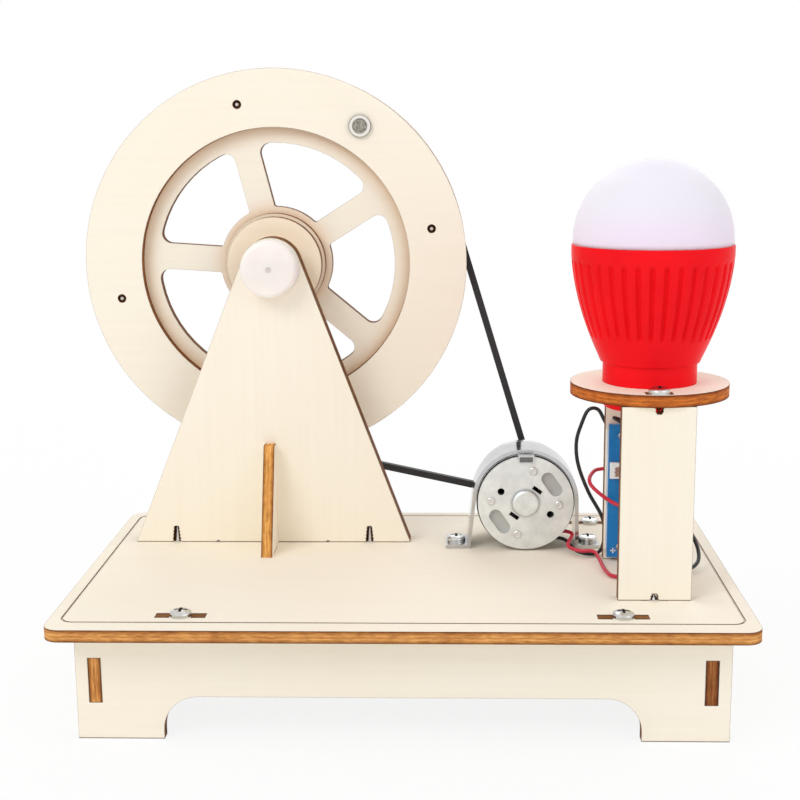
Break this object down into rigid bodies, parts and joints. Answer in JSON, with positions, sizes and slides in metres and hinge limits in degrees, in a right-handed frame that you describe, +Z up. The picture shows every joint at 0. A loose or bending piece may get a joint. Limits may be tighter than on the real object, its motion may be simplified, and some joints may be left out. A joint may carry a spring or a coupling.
{
  "type": "hand crank generator",
  "caption": "Plywood hand crank generator: a spoked wheel on a stand drives a small motor by a belt, and the motor lights a lamp on a pedestal.",
  "frame": {"origin": "on the surface it stands on, under the middle of the whole object's box", "axes": "+X to the right of the front view, along the base; +Y away from the front view, along the wheel's axle; +Z up"},
  "size_m": [0.2069, 0.1444, 0.1921],
  "materials": {
    "plywood": "laser-cut pale plywood with burnt edges",
    "turned_wood": "turned, waxed",
    "zinc_screw": "zinc plated",
    "bright_steel": "drawn, bright",
    "strap_steel": "nickel plated",
    "motor_steel": "pressed sheet, zinc plated",
    "core_steel": "stacked sheet",
    "magnet": "sintered",
    "carbon": "pressed carbon",
    "brass": "plain",
    "copper": "enamelled wire and bare copper",
    "solder": "tinned",
    "can_aluminium": "drawn can",
    "white_plastic": "moulded, slightly glossy",
    "card_plastic": "moulded",
    "black_rubber": "smooth, square section",
    "red_plastic": "moulded, satin",
    "frosted_plastic": "frosted diffuser",
    "white_board": "white solder mask",
    "light_resin": "yellow phosphor resin",
    "white_tape": "foam tape",
    "blue_board": "blue solder mask",
    "part_resin": "moulded electronic parts",
    "red_wire": "wire sleeve",
    "black_wire": "wire sleeve"
  },
  "bodies": {
    "base": {"base_plate": "plywood", "front_skirt": "plywood", "rear_skirt": "plywood", "left_skirt": "plywood", "right_skirt": "plywood", "base_screws": "zinc_screw", "stand_front_ply": "plywood", "stand_rear_ply": "plywood", "stand_gusset": "plywood", "stand_screws": "zinc_screw", "axle_bush": "white_plastic", "drive_belt": "black_rubber", "motor_can": "motor_steel", "motor_end_cap": "motor_steel", "motor_brush_card": "card_plastic", "motor_brushes": "carbon", "motor_terminals": "brass", "motor_magnets": "magnet", "front_motor_bush": "brass", "rear_motor_bush": "brass", "motor_strap": "strap_steel", "strap_screws": "zinc_screw", "lamp_stand_front": "plywood", "lamp_stand_rear": "plywood", "lamp_stand_screws": "zinc_screw", "lamp_disc": "plywood", "disc_screws": "zinc_screw", "lamp_body": "red_plastic", "lamp_dome": "frosted_plastic", "light_board": "white_board", "lights": "light_resin", "board_tape": "white_tape", "regulator_board": "blue_board", "board_parts": "part_resin", "board_capacitors": "can_aluminium", "solder_pads": "solder", "motor_lead_red": "red_wire", "motor_lead_black": "black_wire", "lamp_lead_red": "red_wire", "lamp_lead_black": "black_wire"},
    "wheel": {"axle": "bright_steel", "front_axle_cap": "white_plastic", "rear_axle_cap": "white_plastic", "axle_washer": "white_plastic", "hub_spacer_disc": "plywood", "front_hub_disc": "plywood", "rear_hub_disc": "plywood", "spoked_disc": "plywood", "front_rim": "plywood", "rear_rim": "plywood", "rim_screws": "zinc_screw", "crank_bolt": "bright_steel", "crank_jam_nut": "bright_steel", "crank_lock_nut": "bright_steel"},
    "grip": {"crank_grip": "turned_wood"},
    "rotor": {"motor_shaft": "bright_steel", "armature_core": "core_steel", "armature_windings": "copper", "commutator": "copper", "motor_pulley": "white_plastic"}
  },
  "joints": [
    {"name": "wheel_spin", "type": "hinge", "parent": "base", "child": "wheel", "pos_m": [-0.04015, 0.0154, 0.1288], "axis": [0, 1, 0], "continuous": true},
    {"name": "grip_spin", "type": "hinge", "parent": "wheel", "child": "grip", "pos_m": [-0.01152, 0.0534, 0.1734], "axis": [0, 1, 0], "continuous": true},
    {"name": "rotor_spin", "type": "hinge", "parent": "base", "child": "rotor", "pos_m": [0.04205, 0.0138, 0.0529], "axis": [0, 1, 0], "continuous": true}
  ],
  "couplings": [
    {"joint": "rotor_spin", "follows": "wheel_spin", "ratio": 14.186}
  ]
}
